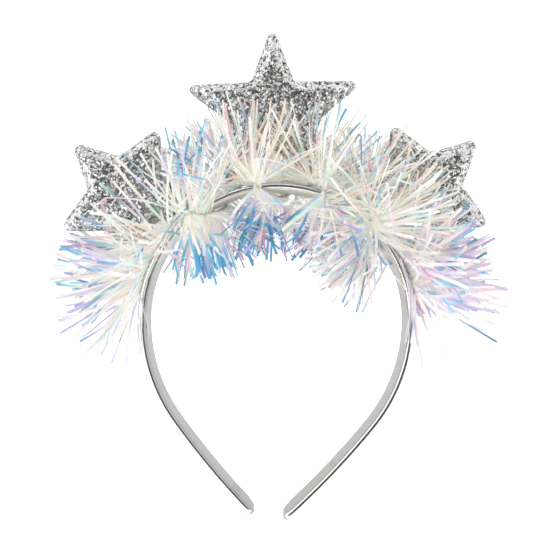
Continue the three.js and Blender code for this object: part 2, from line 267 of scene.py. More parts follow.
def shaded(tree, colour):
    """A colour multiplied by the light and shade painted on the mesh at each point."""
    shade = tree.nodes.new("ShaderNodeVertexColor")
    shade.layer_name = "shade"
    product = tree.nodes.new("ShaderNodeMixRGB")
    product.blend_type = "MULTIPLY"
    product.inputs["Fac"].default_value = 1.0
    tree.links.new(colour, product.inputs["Color1"])
    tree.links.new(shade.outputs["Color"], product.inputs["Color2"])
    return product.outputs["Color"]


def bump(tree, shader, height, strength, distance):
    node = tree.nodes.new("ShaderNodeBump")
    node.inputs["Strength"].default_value = strength
    node.inputs["Distance"].default_value = distance
    tree.links.new(height, node.inputs["Height"])
    tree.links.new(node.outputs["Normal"], shader.inputs["Normal"])


def leatherette_material():
    material, tree, shader = principled("silver_leatherette")
    grain = noise(tree, 1400.0, 4.0)
    colour = ramp(tree, grain, [(0.3, (0.74, 0.74, 0.73)), (0.7, (0.86, 0.86, 0.85))])
    tree.links.new(shaded(tree, colour), shader.inputs["Base Color"])
    shader.inputs["Metallic"].default_value = 1.0
    shader.inputs["Roughness"].default_value = 0.2
    bump(tree, shader, grain, 0.25, 0.00008)
    return material


def satin_material():
    material, tree, shader = principled("grey_satin")
    weave = noise(tree, 2600.0, 2.0)
    colour = ramp(tree, weave, [(0.25, (0.25, 0.25, 0.24)), (0.75, (0.35, 0.35, 0.335))])
    tree.links.new(shaded(tree, colour), shader.inputs["Base Color"])
    shader.inputs["Roughness"].default_value = 0.45
    shader.inputs["Sheen Weight"].default_value = 0.4
    bump(tree, shader, weave, 0.3, 0.00006)
    return material


def glitter_cloth_material():
    material, tree, shader = principled("glitter_cloth")
    grain = noise(tree, 1500.0, 3.0)
    colour = ramp(tree, grain, [(0.35, (0.12, 0.12, 0.12)), (0.65, (0.4, 0.4, 0.39))])
    tree.links.new(colour, shader.inputs["Base Color"])
    shader.inputs["Metallic"].default_value = 0.8
    shader.inputs["Roughness"].default_value = 0.4
    bump(tree, shader, grain, 0.5, 0.0002)
    return material


def flake_material():
    material, tree, shader = principled("silver_flakes")
    geometry = tree.nodes.new("ShaderNodeNewGeometry")
    island = geometry.outputs["Random Per Island"]
    stops = [(0.0, (0.5, 0.51, 0.5)), (0.5, (0.62, 0.625, 0.615)), (1.0, (0.74, 0.74, 0.73))]
    colour = ramp(tree, island, stops)
    tree.links.new(colour, shader.inputs["Base Color"])
    shader.inputs["Metallic"].default_value = 1.0
    shader.inputs["Roughness"].default_value = 0.27
    return material


def felt_material():
    material, tree, shader = principled("white_felt_painted_glow")
    fibre = noise(tree, 1800.0, 5.0)
    colour = ramp(tree, fibre, [(0.3, (0.82, 0.77, 0.71)), (0.7, (0.95, 0.92, 0.87))])
    tree.links.new(colour, shader.inputs["Base Color"])
    # Painted light: the felt glows a little in its own colour.
    tree.links.new(colour, shader.inputs["Emission Color"])
    shader.inputs["Emission Strength"].default_value = 0.22
    shader.inputs["Roughness"].default_value = 0.9
    bump(tree, shader, fibre, 0.6, 0.0002)
    return material


def thread_material():
    material, tree, shader = principled("white_thread")
    fibre = noise(tree, 2200.0, 3.0)
    colour = ramp(tree, fibre, [(0.3, (0.66, 0.64, 0.60)), (0.7, (0.88, 0.87, 0.84))])
    tree.links.new(colour, shader.inputs["Base Color"])
    shader.inputs["Roughness"].default_value = 0.6
    bump(tree, shader, fibre, 0.5, 0.0001)
    return material


def film_material():
    material, tree, shader = principled("pearl_film_painted_glow")
    colour = tree.nodes.new("ShaderNodeVertexColor")
    colour.layer_name = "film"
    tree.links.new(colour.outputs["Color"], shader.inputs["Base Color"])
    # Painted light: the film glows a little in its own colour.
    tree.links.new(colour.outputs["Color"], shader.inputs["Emission Color"])
    shader.inputs["Emission Strength"].default_value = 0.15
    shader.inputs["Roughness"].default_value = 0.25
    shader.inputs["Alpha"].default_value = 0.72
    shader.inputs["Specular IOR Level"].default_value = 0.6
    shader.inputs["Thin Film Thickness"].default_value = 420.0
    shader.inputs["Thin Film IOR"].default_value = 1.6
    return material


# Meshes

def add_piece(name, points, faces, material, slot, smooth):
    """A piece of the object, from points in millimetres round the arc's centre."""
    mesh = bpy.data.meshes.new(name)
    mesh.from_pydata(((np.asarray(points) + ARC_CENTRE) * MM).tolist(), [], faces)
    mesh.polygons.foreach_set("use_smooth", [smooth] * len(mesh.polygons))
    mesh.materials.append(material)
    piece = bpy.data.objects.new(name, mesh)
    bpy.context.collection.objects.link(piece)
    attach(piece, "root")
    return piece


def paint(piece, name, colours):
    """A colour for each point of a piece."""
    layer = piece.data.color_attributes.new(name, "FLOAT_COLOR", "POINT")
    colours = np.asarray(colours, float)
    layer.data.foreach_set("color", np.column_stack([colours, np.ones(len(colours))]).ravel())


def face_outwards(piece):
    """Turns every face of a closed mesh outwards."""
    work = bmesh.new()
    work.from_mesh(piece.data)
    bmesh.ops.recalc_face_normals(work, faces=work.faces)
    work.to_mesh(piece.data)
    work.free()


def loft(rings):
    """Points and faces of a closed body through rings of the same number of points."""
    rings = np.asarray(rings)
    count, size = rings.shape[:2]
    faces = []
    for i in range(count - 1):
        for j in range(size):
            k = (j + 1) % size
            faces.append((i * size + j, i * size + k, (i + 1) * size + k, (i + 1) * size + j))
    faces.append(tuple(reversed(range(size))))
    faces.append(tuple((count - 1) * size + j for j in range(size)))
    return rings.reshape(-1, 3), faces


# Band and lining

def band_frame(distance):
    """Place and outward direction on the band's outer face at a distance from the top of the crown."""
    side = 1.0 if distance >= 0 else -1.0
    left = abs(distance)
    outward = 90.0
    centre = np.zeros(2)
    radius = BAND_ARCS[0][0]
    for i, (arc_radius, sweep) in enumerate(BAND_ARCS):
        centre += polar(radius - arc_radius, outward)
        radius = arc_radius
        length = math.inf if i == len(BAND_ARCS) - 1 else arc_radius * math.radians(sweep)
        used = min(left, length)
        outward -= math.degrees(used / arc_radius)
        left -= used
    place = (centre + polar(radius, outward)) * (side, 1.0)
    return place, polar(1.0, outward) * (side, 1.0)


def beside_band(distance, out, up):
    """A point out from the band's outer face and up from its middle."""
    place, normal = band_frame(distance)
    x, y = place + normal * (out + up * BAND_FLARE)
    return np.array([x, y, MIDDLE_Z + up])


def to_tip(distance):
    """Distance left to the nearer tip of the band."""
    return LEG_LENGTH[1 if distance >= 0 else -1] - abs(distance)


def band_half_width(distance):
    into_tip = max(0.0, 1 - to_tip(distance) / TIP_LENGTH)
    share = TIP_LEAST + (1 - TIP_LEAST) * math.sqrt(max(0.0, 1 - into_tip * into_tip))
    return BAND_WIDTH / 2 * share


def tip_lift(distance):
    return TIP_LIFT * max(0.0, 1 - to_tip(distance) / TIP_LENGTH) ** 2


def band_stations(end, step=1.6, tip_steps=12):
    """Distances of sections along the band, closer together in the rounded tips."""
    halves = []
    for side in (-1, 1):
        straight = LEG_LENGTH[side] - TIP_LENGTH
        tip = straight + (TIP_LENGTH - end) * np.sin(np.linspace(0, math.pi / 2, tip_steps))
        halves.append(side * np.concatenate([np.linspace(0, straight, int(straight / step))[:-1], tip]))
    return np.concatenate([halves[0][:0:-1], halves[1]])


def stadium(half_width, thickness, steps=13):
    """Section of the band as (out, up), round at both edges and swollen on the outer face."""
    depth = min(BAND_EDGE, half_width)
    middle = -BAND_THICKNESS / 2
    section = []
    for edge in (1, -1):
        for i in range(steps):
            angle = math.pi * i / (steps - 1) + (0 if edge > 0 else math.pi)
            section.append((middle + thickness / 2 * math.cos(angle),
                            edge * (half_width - depth) + depth * math.sin(angle)))
    for share in (-0.6, 0.0, 0.6):
        section.append((middle + thickness / 2 + BAND_BULGE * (1 - share * share),
                        share * (half_width - depth)))
    return section


def build_band():
    """The covered band, with painted shade on its outer face, along that face's edge and at and near its
    tips."""
    fold_place, fold_reach, fold_height = TIP_FOLD
    rings, shades = [], []
    for s in band_stations(0.0):
        near_end = min(1.0, to_tip(s) / TIP_ROUND)
        thinned = TIP_THINNEST + (1 - TIP_THINNEST) * math.sqrt(max(0.0, 1 - (1 - near_end) ** 2))
        thickness = BAND_THICKNESS * thinned
        thickness *= 1 + fold_height * math.exp(-((to_tip(s) - fold_place) / fold_reach) ** 2)
        half = band_half_width(s)
        section = stadium(half, thickness)
        rings.append([beside_band(s, out, up + tip_lift(s)) for out, up in section])
        # Painted shade: a dark reflection at the ends of the tips, along the back edge near them, on the
        # outer face and along its edge.
        end = END_SHADE * math.exp(-(to_tip(s) / END_SHADE_REACH) ** 4)
        tip_back_shade = TIP_BACK_SHADE * math.exp(-(to_tip(s) / TIP_BACK_SHADE_REACH) ** 4)
        for out, up in section:
            edge = EDGE_SHADE if out > EDGE_SHADE_OUT and up > half - BAND_EDGE * 1.01 else 0.0
            face = FACE_SHADE if out > FACE_SHADE_OUT else 0.0
            shades.append(1 - max(edge, face, end, tip_back_shade * (up < TIP_BACK_SHADE_UP - half)))
    band = add_piece("band_cover", *loft(rings), leatherette_material(), "band_cover", True)
    paint(band, "shade", np.repeat(np.array(shades)[:, None], 3, axis=1))
    face_outwards(band)
    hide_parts("band")


def lining_section(half_width, wrap):
    """Places on the band's section that the ribbon covers, and directions out of it: the inner face and the
    round of the front edge as far as an angle."""
    depth = min(BAND_EDGE, half_width)
    section = [(-BAND_THICKNESS, share * (half_width - depth), -1.0, 0.0) for share in np.linspace(-1, 1, 13)]
    for angle in np.linspace(180.0, wrap, 6)[1:]:
        across, up = polar(1.0, angle)
        normal = unit(np.array([across / BAND_THICKNESS * 2, up / depth]))
        section.append((BAND_THICKNESS / 2 * (across - 1), half_width - depth + depth * up, *normal))
    return section


def build_lining():
    """The satin ribbon on the inner face, gathered at its ends and creased, with painted shade and light on
    it.
    """
    rings, shades = [], []
    for s in band_stations(LINING_END, 0.5):
        to_end = to_tip(s) - LINING_END
        places = LINING_CREASES[1 if s >= 0 else -1]
        creased = sum(math.exp(-((to_end - place) / CREASE_REACH) ** 2) for place in places)
        section = lining_section(band_half_width(s), np.interp(s, (-40, 40), LINING_WRAP))
        over, under, shade = [], [], []
        # Painted light, lighter and warmer towards the crown, and painted shade on the right leg and towards
        # the ends.
        lit = 1 + sum(amount * np.clip((start - abs(s)) / reach, 0, 1)
                      for amount, start, reach in LINING_LIGHTS)
        dim = (RIGHT_LEG_SHADE[1] if s > RIGHT_LEG_SHADE[0] else 1.0) * (1 - END_DIM[0] * math.exp(-to_end / END_DIM[1]))
        tint = 1 - np.array(LINING_LIGHT_WARMTH) * (lit - 1)
        for i, (out, up, normal_out, normal_up) in enumerate(section):
            share = i / (len(section) - 1)
            pleat = PLEAT_HEIGHT * math.exp(-to_end / PLEAT_REACH) * math.cos(share * PLEAT_TURNS)
            thickness = LINING_THICKNESS * (1 - LINING_THINNING * share ** 4)
            thickness = thickness - CREASE_DEPTH * creased - pleat * (1 - share)
            for side, height in ((over, LINING_LIE + max(LINING_LEAST, thickness)), (under, LINING_LIE)):
                side.append(beside_band(s, out + normal_out * height, up + normal_up * height + tip_lift(s)))
            # Painted shade along the back edge and in the creases and pleats, and painted light in front.
            painted_shade = (1 - BACK_EDGE_SHADE * (1 - share) ** 12) * (1 - CREASE_SHADE * creased)
            painted_shade *= (1 - PLEAT_SHADE * max(0.0, pleat)) * dim
            front = 1 + FRONT_LIGHT[0] * np.clip((share - FRONT_LIGHT[1]) / FRONT_LIGHT[2], 0, 1)
            shade.append(painted_shade * front * tint * lit)
        rings.append(over + under[::-1])
        shades += shade + shade[::-1]
    lining = add_piece("satin_lining", *loft(rings), satin_material(), "lining", True)
    paint(lining, "shade", shades)
    face_outwards(lining)
    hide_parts("band_lining")


# Stars

def star_outline(star, spacing=1.1):
    """Outline round the star's own middle, with rounded points and notches, in even steps."""
    corners = []
    for i in range(10):
        point = star["tip"] if i else star["top"]
        notch = star["side"] if i in (3, 7) else star["notch"]
        lower = star["droop"] if i == 2 else 0.0
        corners.append(polar(notch if i % 2 else point, star["turn"] + 36.0 * i + lower))
    rough = []
    for i, corner in enumerate(corners):
        radius = NOTCH_ROUND if i % 2 else star["round"]
        before = unit(corners[i - 1] - corner)
        after = unit(corners[(i + 1) % 10] - corner)
        half = math.acos(before @ after) / 2
        centre = corner + unit(before + after) * radius / math.sin(half)
        first = corner + before * radius / math.tan(half) - centre
        last = corner + after * radius / math.tan(half) - centre
        for share in np.linspace(0, 1, 9):
            rough.append(centre + unit(first * (1 - share) + last * share) * radius)
    rough = np.array(rough + rough[:1])
    steps = np.linalg.norm(np.diff(rough, axis=0), axis=1)
    along = np.concatenate([[0], np.cumsum(steps)])
    even = np.linspace(0, along[-1], int(along[-1] / spacing), endpoint=False)
    return np.stack([np.interp(even, along, rough[:, axis]) for axis in (0, 1)], axis=1)


def distance_to_outline(points, outline):
    """Distance of each point from a closed outline."""
    best = np.full(len(points), np.inf)
    for a, b in zip(outline, np.roll(outline, -1, axis=0)):
        edge = b - a
        share = np.clip((points - a) @ edge / (edge @ edge), 0, 1)
        best = np.minimum(best, np.linalg.norm(points - a - share[:, None] * edge, axis=1))
    return best


def inside_outline(points, outline):
    """Whether each point lies inside a closed outline."""
    inside = np.zeros(len(points), bool)
    for a, b in zip(outline, np.roll(outline, -1, axis=0)):
        crosses = (a[1] > points[:, 1]) != (b[1] > points[:, 1])
        rise = b[1] - a[1]
        at = a[0] + (points[:, 1] - a[1]) * (b[0] - a[0]) / (rise if rise else 1e-9)
        inside ^= crosses & (points[:, 0] < at)
    return inside


class StarPad:
    """The height of a padded star over its middle plane, on a grid."""

    PITCH = 0.5

    def __init__(self, star):
        self.star = star
        self.middle = polar(star["reach"], star["at"])
        self.outline = star_outline(star)
        reach = star["tip"] + 2.0
        self.axis = np.arange(-reach, reach + self.PITCH, self.PITCH)
        x, y = np.meshgrid(self.axis, self.axis, indexing="ij")
        points = np.stack([x.ravel(), y.ravel()], axis=1)
        depth = np.where(inside_outline(points, self.outline), distance_to_outline(points, self.outline), 0.0)
        share = np.clip(depth / STAR_BEVEL, 0, 1)
        swell = star["thickness"] / 2 - STAR_RIM / 2
        dome = 1 - STAR_DOME * np.linalg.norm(points, axis=1) / star["tip"]
        height = swell * (1 - (1 - share) ** STAR_ROUNDNESS) * dome
        self.height = height.reshape(x.shape)
        self.inside = (depth > 0).reshape(x.shape)
        for _ in range(STAR_SMOOTHING):
            padded = np.pad(self.height, 1, mode="edge")
            mean = (padded[:-2, 1:-1] + padded[2:, 1:-1] + padded[1:-1, :-2] + padded[1:-1, 2:]) / 4
            self.height = np.where(self.inside, 0.5 * self.height + 0.5 * mean, 0.0)

    def at(self, points):
        """Height over the middle plane at points round the star's middle, or 0 outside the outline."""
        place = (np.atleast_2d(points) - self.axis[0]) / self.PITCH
        cell = np.clip(place.astype(int), 0, len(self.axis) - 2)
        share = np.clip(place - cell, 0, 1)
        i, j = cell.T
        a, b = share.T
        low = self.height[i, j] * (1 - b) + self.height[i, j + 1] * b
        high = self.height[i + 1, j] * (1 - b) + self.height[i + 1, j + 1] * b
        return low * (1 - a) + high * a

    def slope(self, points, step=0.4):
        """Upward normals of the front at points round the star's middle."""
        dx = (self.at(points + (step, 0)) - self.at(points - (step, 0))) / (2 * step)
        dy = (self.at(points + (0, step)) - self.at(points - (0, step))) / (2 * step)
        normals = np.stack([-dx, -dy, np.ones(len(points))], axis=1)
        return normals / np.linalg.norm(normals, axis=1, keepdims=True)


def build_star_pad(pad, material):
    """The padded star, front and back alike, with a thin seam round its outline."""
    rings = []
    for side in (-1, 1):
        for scale in PAD_RINGS[::-1] if side < 0 else PAD_RINGS:
            flat = pad.outline * scale
            up = STAR_RIM / 2 + pad.at(flat) * (scale < 1)
            rings.append(np.column_stack([flat + pad.middle, MIDDLE_Z + side * up]))
    name = pad.star["name"]
    piece = add_piece(f"star_{name}_pad", *loft(rings), material, "glitter", True)
    face_outwards(piece)
    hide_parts(f"star_{name}")


def flake_sites(pad, rng):
    """Places and normals for flakes: a jittered grid on the front and back, and a row round the seam."""
    reach = pad.star["tip"]
    xs = np.arange(-reach, reach, FLAKE_SPACING)
    ys = np.arange(-reach, reach, FLAKE_SPACING * math.sqrt(3) / 2)
    grid = np.array([(x + FLAKE_SPACING / 2 * (row % 2), y) for row, y in enumerate(ys) for x in xs])
    places, normals = [], []
    for side in (1, -1):
        flat = grid + rng.uniform(-FLAKE_JITTER, FLAKE_JITTER, grid.shape)
        flat = flat[inside_outline(flat, pad.outline * FLAKE_MARGIN)]
        normal = pad.slope(flat) * (1, 1, side)
        up = STAR_RIM / 2 + pad.at(flat)
        places.append(np.column_stack([flat + pad.middle, MIDDLE_Z + side * up]))
        normals.append(normal)
    ahead = np.roll(pad.outline, -1, axis=0) - np.roll(pad.outline, 1, axis=0)
    outward = np.column_stack([ahead[:, 1], -ahead[:, 0]]) / np.linalg.norm(ahead, axis=1, keepdims=True)
    for level in SEAM_LEVELS:
        shift = rng.uniform(-FLAKE_JITTER, FLAKE_JITTER, (len(ahead), 1))
        rim = pad.outline - outward * SEAM_INSET + ahead / 2 * shift
        places.append(np.column_stack([rim + pad.middle, np.full(len(rim), MIDDLE_Z + level)]))
        normals.append(np.column_stack([outward, np.full(len(rim), level)]) / math.hypot(1, level))
    return np.concatenate(places), np.concatenate(normals)


def build_flakes(pad, material, rng):
    """Glitter flakes on a star: six-sided plates, each with a point sunk in the cloth."""
    places, normals = flake_sites(pad, rng)
    sparkle = rng.random(len(places)) < SPARKLE_SHARE
    tilt = np.tan(np.radians(np.where(sparkle, SPARKLE_TILT, FLAKE_TILT)))
    tilted = normals + rng.normal(0, 1, normals.shape) * tilt[:, None]
    tilted /= np.linalg.norm(tilted, axis=1, keepdims=True)
    helper = np.where(np.abs(tilted[:, 2:3]) < 0.9, [[0, 0, 1.0]], [[1.0, 0, 0]])
    across = np.cross(tilted, helper)
    across /= np.linalg.norm(across, axis=1, keepdims=True)
    along = np.cross(tilted, across)
    large = rng.uniform(*SPARKLE_RADIUS, len(places))
    radius = np.where(sparkle, large, rng.uniform(*FLAKE_RADIUS, len(places)))
    radius = np.where(np.abs(places[:, 2] - MIDDLE_Z) < SEAM_REACH, SEAM_FLAKE_RADIUS, radius)
    turn = rng.uniform(0, math.pi, len(places))
    top = places + normals * rng.uniform(*FLAKE_LIFT, (len(places), 1))
    corners = []
    for i in range(6):
        angle = turn + math.pi / 3 * i
        size = radius * rng.uniform(*FLAKE_TRIM, len(places))
        corners.append(top + across * (size * np.cos(angle))[:, None]
                       + along * (size * np.sin(angle))[:, None])
    foot = places - normals * FLAKE_FOOT
    points = np.stack(corners + [foot], axis=1).reshape(-1, 3)
    faces = []
    for start in range(0, len(points), 7):
        faces.append(tuple(start + i for i in range(6)))
        faces += [(start + (i + 1) % 6, start + i, start + 6) for i in range(6)]
    piece = add_piece(f"star_{pad.star['name']}_flakes", points, faces, material, "glitter", False)
    face_outwards(piece)


# Tinsel garland

def core_point(distance):
    """The core's path round the band: in front of it, inside, behind and outside, turn by turn."""
    turn = math.radians(np.interp(distance, *zip(*WINDING)))
    out = math.copysign(math.sqrt(abs(math.sin(turn))), math.sin(turn))
    up = math.copysign(math.sqrt(abs(math.cos(turn))), math.cos(turn))
    return beside_band(distance, -LINED / 2 + WRAP_OUT * out, WRAP_DEPTH * up)


def core_samples():
    """Even samples of the core: points, directions along it and away from the band, and distances."""
    distances = np.linspace(WINDING[0][0], WINDING[-1][0], CORE_FINENESS)
    points = np.array([core_point(s) for s in distances])
    steps = np.concatenate([[0], np.cumsum(np.linalg.norm(np.diff(points, axis=0), axis=1))])
    even = np.linspace(0, steps[-1], CORE_SAMPLES)
    path = np.stack([np.interp(even, steps, points[:, axis]) for axis in range(3)], axis=1)
    at = np.interp(even, steps, distances)
    smooth = path.copy()
    for _ in range(CORE_SMOOTHING):
        smooth[1:-1] = (smooth[:-2] + 2 * smooth[1:-1] + smooth[2:]) / 4
    tangent = np.gradient(smooth, axis=0)
    tangent /= np.linalg.norm(tangent, axis=1, keepdims=True)
    away = path - np.array([beside_band(s, -LINED / 2, 0.0) for s in at])
    away -= tangent * np.sum(away * tangent, axis=1, keepdims=True)
    away /= np.linalg.norm(away, axis=1, keepdims=True)
    return smooth, tangent, away, at


def build_core(path, tangent, away, material):
    """The garland's core: two threads twisted round each other."""
    side = np.cross(tangent, away)
    for name, phase in (("core_thread_a", 0.0), ("core_thread_b", math.pi)):
        rings = []
        for i in range(0, len(path), 2):
            twist = phase + i * THREAD_TWIST
            centre = path[i] + THREAD_ASIDE * (away[i] * math.cos(twist) + side[i] * math.sin(twist))
            rings.append([centre + THREAD_RADIUS * (away[i] * math.cos(a) + side[i] * math.sin(a))
                          for a in np.linspace(0, 2 * math.pi, 6, endpoint=False)])
        piece = add_piece(name, *loft(rings), material, "film", True)
        face_outwards(piece)


# Colours of the film, in sRGB.
FILM_COLOURS = {
    "white": (0.97, 0.97, 0.96),
    "cream": (0.97, 0.955, 0.90),
    "peach": (0.97, 0.89, 0.82),
    "blush": (0.96, 0.86, 0.87),
    "pink": (0.91, 0.69, 0.74),
    "lilac": (0.86, 0.82, 0.93),
    "lavender": (0.72, 0.68, 0.85),
    "mint": (0.80, 0.92, 0.86),
    "sky": (0.58, 0.83, 0.92),
    "cyan": (0.32, 0.71, 0.85),
    "teal": (0.24, 0.56, 0.66),
    "blue": (0.36, 0.62, 0.82),
    "indigo": (0.48, 0.56, 0.80),
}
ROOT_MIX = {"white": 0.58, "cream": 0.3, "peach": 0.06, "mint": 0.06}
PALE_MIX = {"white": 0.4, "cream": 0.18, "blush": 0.14, "lilac": 0.12, "mint": 0.07, "peach": 0.05,
            "sky": 0.04}
WARM_MIX = {"white": 0.36, "cream": 0.22, "peach": 0.16, "mint": 0.13, "blush": 0.13}
ROSY_MIX = {"white": 0.34, "blush": 0.32, "lilac": 0.22, "sky": 0.06, "cream": 0.06}
OUTER_MIX = {"cyan": 0.36, "teal": 0.2, "blue": 0.14, "lavender": 0.12, "pink": 0.13, "sky": 0.05}
INNER_MIX = {"cyan": 0.3, "blue": 0.22, "teal": 0.14, "indigo": 0.1, "lavender": 0.09, "pink": 0.15}
WARM_ZONE = (-12.0, 52.0)
ROSY_ZONE = (58.0, 90.0)
COLOUR_PLACES = (0.0, 0.3, 0.52, 0.75, 1.0)  # along a strip
# Chances that a strip outside and inside the band is vivid at the last three of these places, and what they
# are multiplied by: inside at distances along the band, at the garland's right end, and over a star.
OUTER_CHANCES = (0.15, 0.27, 0.38)
INNER_CHANCES = (0.37, 0.5, 0.56)
INNER_VIVID = [(-40.0, 0.85), (-25.0, 1.2), (14.0, 1.2), (24.0, 0.6)]
RIGHT_END_VIVID = 0.8
STAR_VIVID = 0.35
STRAY_VIVID = 0.06  # chance of a vivid place whatever the strip is like
TUFT_ALIKE = 0.6  # share of the strips that are vivid in their tuft's own colour
SHADE_LEVELS = (0.84, 0.22)  # least, and how much more at most


def linear(colour):
    colour = np.array(colour)
    return np.where(colour <= 0.04045, colour / 12.92, ((colour + 0.055) / 1.055) ** 2.4)


def pick(mix, share):
    """The colour at a share of the way through a mix."""
    names = list(mix)
    weights = np.cumsum([mix[name] for name in names])
    place = int(np.searchsorted(weights / weights[-1], share))
    return linear(FILM_COLOURS[names[min(place, len(names) - 1)]])


def strip_colours(tuft, inside, star, rng):
    """Colours along a strip: pale near the core and over a star, and more often vivid towards its tip, much
    as its tuft is."""
    pale = PALE_MIX
    if star or (not inside and WARM_ZONE[0] < tuft["distance"] < WARM_ZONE[1]):
        pale = WARM_MIX
    if not inside and ROSY_ZONE[0] < tuft["distance"] < ROSY_ZONE[1]:
        pale = ROSY_MIX
    shade = tuft["seed"] if rng.random() < TUFT_ALIKE else rng.random()
    vivid = pick(INNER_MIX if inside else OUTER_MIX, shade)
    chances = np.array(INNER_CHANCES if inside else OUTER_CHANCES)
    if inside:
        chances *= np.interp(tuft["distance"], *zip(*INNER_VIVID))
    elif tuft["distance"] > WIDE_ENDS:
        chances *= RIGHT_END_VIVID
    if star:
        chances *= STAR_VIVID
    keen = 0.5 * tuft["keen"] + 0.5 * rng.random()
    knots = [pick(ROOT_MIX, rng.random()), pick(pale, rng.random())]
    for chance in chances:
        stray, tint, level = rng.random(3)
        colour = vivid if keen < chance or stray < STRAY_VIVID else pick(pale, tint)
        knots.append(colour * (SHADE_LEVELS[0] + SHADE_LEVELS[1] * level))
    shares = np.linspace(0, 1, STRIP_STEPS + 1)
    return np.stack([np.interp(shares, COLOUR_PLACES, channel) for channel in np.transpose(knots)], axis=1)


def beyond_band(point):
    """How far a point is outside the band's outer face, in plan."""
    return math.hypot(point[0], point[1]) - BAND_ARCS[0][0]


def meets_band(point, rank):
    """Whether a point is in the band or its lining, or in front of them where a strip of this rank, from 0 to
    1, leaves the band in view."""
    if not -LINED - INNER_CLEAR < beyond_band(point) < BAND_BULGE + OUTER_CLEAR:
        return False
    up = point[2] - MIDDLE_Z
    distance = BAND_ARCS[0][0] * math.atan2(point[0], point[1])
    share = next(share for start, share in reversed(FRONT_SHARES) if start < distance)
    return abs(up) < BAND_WIDTH / 2 + EDGE_CLEAR or (up > 0 and rank > share)


def strip_path(root, way, length, rank, rng, pads):
    """Points of one strip, bent a little, over the stars and along the floor, or None where it meets the
    band."""
    step = length / STRIP_STEPS
    curl = rng.random() < CURL_SHARE
    bend = rng.normal(0, CURL_BEND if curl else STRIP_BEND, 3)
    kink = rng.integers(2, STRIP_STEPS) if rng.random() < KINK_SHARE else -1
    points = [root]
    way = way.copy()
    for i in range(STRIP_STEPS):
        way = unit(way + bend + (0, 0, -STRIP_SAG))
        if i == kink:
            way = unit(way + rng.normal(0, KINK_BEND, 3))
        following = points[-1] + way * step
        lowest = FLOOR_CLEAR[0] + FLOOR_CLEAR[1] * rng.random()
        if following[2] < lowest:
            drop = max(lowest - points[-1][2], -0.9 * step)
            level = unit(np.array([way[0], way[1], 0.0]) + 1e-6)
            following = points[-1] + level * math.sqrt(step * step - drop * drop)
            following[2] = max(points[-1][2] + drop, lowest)
            way = unit(following - points[-1])
        for pad in pads:
            flat = following[:2] - pad.middle
            if np.abs(flat).max() < pad.axis[-1]:
                height = pad.at(flat)[0]
                clear = height + STAR_RIM / 2 + STAR_CLEAR
                if height > 0 and abs(following[2] - MIDDLE_Z) < clear:
                    following[2] = MIDDLE_Z + math.copysign(clear, points[-1][2] - MIDDLE_Z)
        middle = (following + points[-1]) / 2
        if meets_band(following, rank) or meets_band(middle, rank):
            return None
        points.append(following)
    return np.array(points)


def covered_star(route, pads):
    """The star that the outer half of a strip passes in front of, or None."""
    outer = route[len(route) // 2:]
    outer = outer[outer[:, 2] > MIDDLE_Z]
    for pad in pads:
        if len(outer) and inside_outline(outer[:, :2] - pad.middle, pad.outline).any():
            return pad.star
    return None


def ribbon(route, beside, wide, rng):
    """Points of a thin closed ribbon along a route, three for each point of the route, and its faces. Its
    width lies about along a direction."""
    width = rng.uniform(*(WIDE_STRIP_WIDTH if wide else STRIP_WIDTH))
    along = unit(route[-1] - route[0])
    facing = unit(np.cross(along, beside + rng.normal(0, RIBBON_TILT, 3)))
    across = np.cross(along, facing)
    twist = rng.normal(0, RIBBON_TWIST)
    points = []
    for k, point in enumerate(route):
        turn = twist * k / STRIP_STEPS
        breadth = across * math.cos(turn) + facing * math.sin(turn)
        depth = facing * math.cos(turn) - across * math.sin(turn)
        points += [point + breadth * width / 2, point - breadth * width / 2, point + depth * STRIP_THICKNESS]
    faces = [(0, 2, 1)]
    for a in range(0, 3 * STRIP_STEPS, 3):
        faces += [(a + j, a + (j + 1) % 3, a + 3 + (j + 1) % 3, a + 3 + j) for j in range(3)]
    faces.append(tuple(3 * STRIP_STEPS + j for j in range(3)))
    return np.array(points), faces


def grow_strip(tuft, core, pads, rng):
    """Route of one strip of a tuft, the core's direction at its root and the star that it covers, or None
    where it has no room or is left out."""
    path, tangent, away, at = core
    i = int(np.clip(tuft["place"] + rng.normal(0, TUFT_LENGTH), 0, 1) * (len(path) - 1))
    distance = at[i]
    side = np.cross(tangent[i], away[i])
    outward = band_frame(distance)[1]
    loose = INNER_LOOSENESS if tuft["inner"] else 1.0
    spread = math.radians(tuft["spread"] + rng.normal(0, TUFT_SPREAD) * loose)
    lean = tuft["lean"] + rng.normal(0, STRIP_LEAN) * loose
    for end_lean, end in zip(END_LEANS, (at[0], at[-1])):
        lean += end_lean * max(0.0, 1 - abs(distance - end) / END_LEAN_REACH)
    way = away[i] * math.cos(spread) + side * math.sin(spread) + tangent[i] * lean
    way = unit(way) * (1, 1, STRIP_FLATNESS)
    way[2] = max(way[2], STEEPEST_DOWN)
    way = unit(way)
    inward = max(0.0, -(way[:2] @ outward))
    length = np.clip(rng.normal(*STRIP_LENGTH), *STRIP_LENGTH_LIMITS)
    length *= 1 - (1 - np.interp(distance, *zip(*STRIP_INSIDE))) * inward
    route = strip_path(path[i] + way * STRIP_START, way, length, rng.random(), rng, pads)
    if route is None:
        return None
    inside = beyond_band(route[-1]) < 0
    if inside and not LOOSE_ENDS[0] < distance < LOOSE_ENDS[1] and rng.random() < LOOSE_ENDS_CUT:
        return None
    straight = -unit(route[-1, :2] - route[0, :2]) @ outward
    if inside and straight < SLANT_LIMIT and rng.random() < SLANT_CUT:
        return None
    thin = INNER_THIN_ZONE if inside else THIN_ZONE
    if thin[0] < distance < thin[1] and rng.random() < THIN_CUT:
        return None
    star = covered_star(route, pads)
    if star and rng.random() < star["bare"]:
        return None
    return route, tangent[i], star


